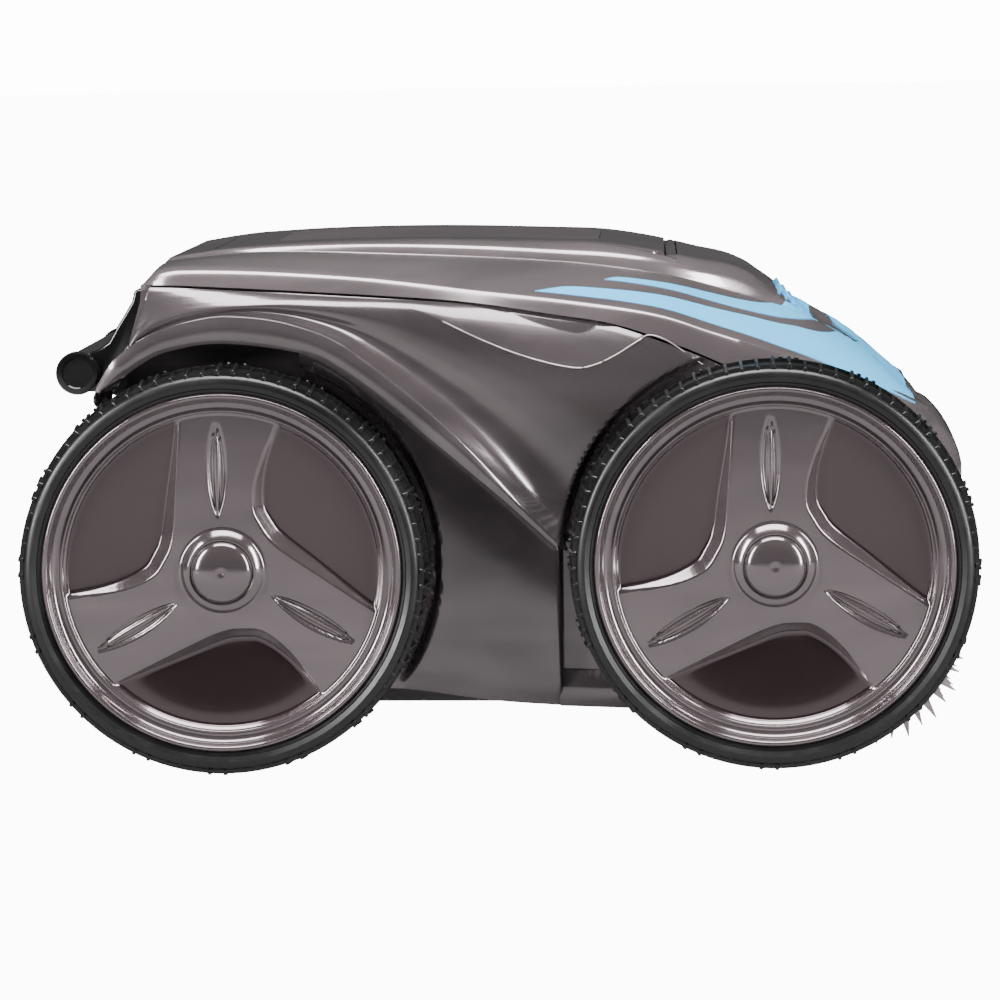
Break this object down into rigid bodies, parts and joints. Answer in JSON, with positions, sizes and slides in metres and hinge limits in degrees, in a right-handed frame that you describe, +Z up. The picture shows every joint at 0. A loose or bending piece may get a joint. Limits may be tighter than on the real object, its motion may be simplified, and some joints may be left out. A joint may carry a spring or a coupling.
{
  "type": "robotic pool cleaner",
  "caption": "Four-wheeled robotic pool cleaner with grey shell, blue stripes, geared wheels and brushes, hinged filter lid, suction flap and a rear carrying handle.",
  "frame": {"origin": "on the ground, at the centre of the bounding box seen from above", "axes": "+X towards the front (brush end), +Y to the left of the machine, +Z up"},
  "size_m": [0.482, 0.43, 0.2625],
  "materials": {
    "shell_grey": "glossy, faint metallic fleck",
    "wheel_grey": "glossy, faint metallic fleck",
    "tyre": "matt rubber",
    "accent_blue": "satin",
    "handle_black": "glossy",
    "chassis_grey": "moulded, fine texture",
    "motor_black": "potted block",
    "gear_white": "acetal",
    "steel": "stainless",
    "bush_brass": "bearing bronze",
    "blade_grey": "soft rubber",
    "core_grey": "moulded",
    "seal_rubber": "soft rubber",
    "mesh_white": "fine mesh",
    "foam_white": "closed-cell foam",
    "smoked_window": "smoked, glossy"
  },
  "bodies": {
    "body": {"accent_stripes": "accent_blue", "axle_bushes": "bush_brass", "axle_screws": "steel", "axle_washers": "steel", "brush_bearings": "bush_brass", "cable_gland": "handle_black", "chassis": "chassis_grey", "filter_frame": "chassis_grey", "filter_lid": "chassis_grey", "filter_mesh": "mesh_white", "filter_seal": "seal_rubber", "float_blocks": "foam_white", "front_bumper": "shell_grey", "gear_cover_left": "shell_grey", "gear_cover_right": "shell_grey", "handle_end_caps": "handle_black", "hood": "shell_grey", "idler_pins": "steel", "motor_case": "motor_black", "motor_cover": "chassis_grey", "outlet_duct": "chassis_grey", "outlet_grille": "accent_blue", "rear_handle": "handle_black", "shell_screws": "steel", "side_panel_left": "shell_grey", "side_panel_right": "shell_grey", "stub_axles": "steel"},
    "wheel_front_left": {"tyre_front_left": "tyre", "rim_front_left": "wheel_grey", "wheel_gear_front_left": "gear_white", "hub_cap_front_left": "wheel_grey"},
    "idler_front_left": {"idler_gear_front_left": "gear_white"},
    "wheel_rear_left": {"tyre_rear_left": "tyre", "rim_rear_left": "wheel_grey", "wheel_gear_rear_left": "gear_white", "hub_cap_rear_left": "wheel_grey"},
    "idler_rear_left": {"idler_gear_rear_left": "gear_white"},
    "pinion_left": {"drive_pinion_left": "steel"},
    "brush_left": {"brush_core_left": "core_grey", "brush_blades_left": "blade_grey", "brush_gear_left": "gear_white"},
    "wheel_front_right": {"tyre_front_right": "tyre", "rim_front_right": "wheel_grey", "wheel_gear_front_right": "gear_white", "hub_cap_front_right": "wheel_grey"},
    "idler_front_right": {"idler_gear_front_right": "gear_white"},
    "wheel_rear_right": {"tyre_rear_right": "tyre", "rim_rear_right": "wheel_grey", "wheel_gear_rear_right": "gear_white", "hub_cap_rear_right": "wheel_grey"},
    "idler_rear_right": {"idler_gear_rear_right": "gear_white"},
    "pinion_right": {"drive_pinion_right": "steel"},
    "brush_right": {"brush_core_right": "core_grey", "brush_blades_right": "blade_grey", "brush_gear_right": "gear_white"},
    "propeller": {"propeller": "gear_white", "pump_shaft": "steel"},
    "access_lid": {"lid_frame": "shell_grey", "lid_window": "smoked_window"},
    "inlet_flap": {"inlet_flap": "chassis_grey"}
  },
  "joints": [
    {"name": "wheel_front_left_spin", "type": "hinge", "parent": "body", "child": "wheel_front_left", "pos_m": [0.1375, 0.155, 0.1035], "axis": [0, 1, 0], "continuous": true},
    {"name": "wheel_rear_left_spin", "type": "hinge", "parent": "body", "child": "wheel_rear_left", "pos_m": [-0.1375, 0.155, 0.1035], "axis": [0, 1, 0], "continuous": true},
    {"name": "idler_front_left_spin", "type": "hinge", "parent": "body", "child": "idler_front_left", "pos_m": [0.045, 0.155, 0.1035], "axis": [0, 1, 0], "continuous": true},
    {"name": "idler_rear_left_spin", "type": "hinge", "parent": "body", "child": "idler_rear_left", "pos_m": [-0.045, 0.155, 0.1035], "axis": [0, 1, 0], "continuous": true},
    {"name": "pinion_left_spin", "type": "hinge", "parent": "body", "child": "pinion_left", "pos_m": [0, 0.155, 0.1035], "axis": [0, 1, 0], "continuous": true},
    {"name": "brush_left_spin", "type": "hinge", "parent": "body", "child": "brush_left", "pos_m": [0.18884, 0.155, 0.04883], "axis": [0, 1, 0], "continuous": true},
    {"name": "wheel_front_right_spin", "type": "hinge", "parent": "body", "child": "wheel_front_right", "pos_m": [0.1375, -0.155, 0.1035], "axis": [0, 1, 0], "continuous": true},
    {"name": "wheel_rear_right_spin", "type": "hinge", "parent": "body", "child": "wheel_rear_right", "pos_m": [-0.1375, -0.155, 0.1035], "axis": [0, 1, 0], "continuous": true},
    {"name": "idler_front_right_spin", "type": "hinge", "parent": "body", "child": "idler_front_right", "pos_m": [0.045, -0.155, 0.1035], "axis": [0, 1, 0], "continuous": true},
    {"name": "idler_rear_right_spin", "type": "hinge", "parent": "body", "child": "idler_rear_right", "pos_m": [-0.045, -0.155, 0.1035], "axis": [0, 1, 0], "continuous": true},
    {"name": "pinion_right_spin", "type": "hinge", "parent": "body", "child": "pinion_right", "pos_m": [0, -0.155, 0.1035], "axis": [0, 1, 0], "continuous": true},
    {"name": "brush_right_spin", "type": "hinge", "parent": "body", "child": "brush_right", "pos_m": [0.18884, -0.155, 0.04883], "axis": [0, 1, 0], "continuous": true},
    {"name": "propeller_spin", "type": "hinge", "parent": "body", "child": "propeller", "pos_m": [0.10386, 0, 0.17662], "axis": [0.7314, 0, 0.682], "continuous": true},
    {"name": "lid_hinge", "type": "hinge", "parent": "body", "child": "access_lid", "pos_m": [0.088, 0, 0.2493], "axis": [0, 1, 0], "range_deg": [0, 100]},
    {"name": "inlet_flap_hinge", "type": "hinge", "parent": "body", "child": "inlet_flap", "pos_m": [-0.073, 0, 0.0478], "axis": [0, 1, 0], "range_deg": [0, 75]}
  ],
  "couplings": [
    {"joint": "idler_front_left_spin", "follows": "wheel_front_left_spin", "ratio": -2.0833},
    {"joint": "idler_rear_left_spin", "follows": "wheel_front_left_spin", "ratio": -2.0833},
    {"joint": "wheel_rear_left_spin", "follows": "wheel_front_left_spin", "ratio": 1},
    {"joint": "pinion_left_spin", "follows": "wheel_front_left_spin", "ratio": 4.1667},
    {"joint": "brush_left_spin", "follows": "wheel_front_left_spin", "ratio": -5},
    {"joint": "idler_front_right_spin", "follows": "wheel_front_right_spin", "ratio": -2.0833},
    {"joint": "idler_rear_right_spin", "follows": "wheel_front_right_spin", "ratio": -2.0833},
    {"joint": "wheel_rear_right_spin", "follows": "wheel_front_right_spin", "ratio": 1},
    {"joint": "pinion_right_spin", "follows": "wheel_front_right_spin", "ratio": 4.1667},
    {"joint": "brush_right_spin", "follows": "wheel_front_right_spin", "ratio": -5}
  ]
}
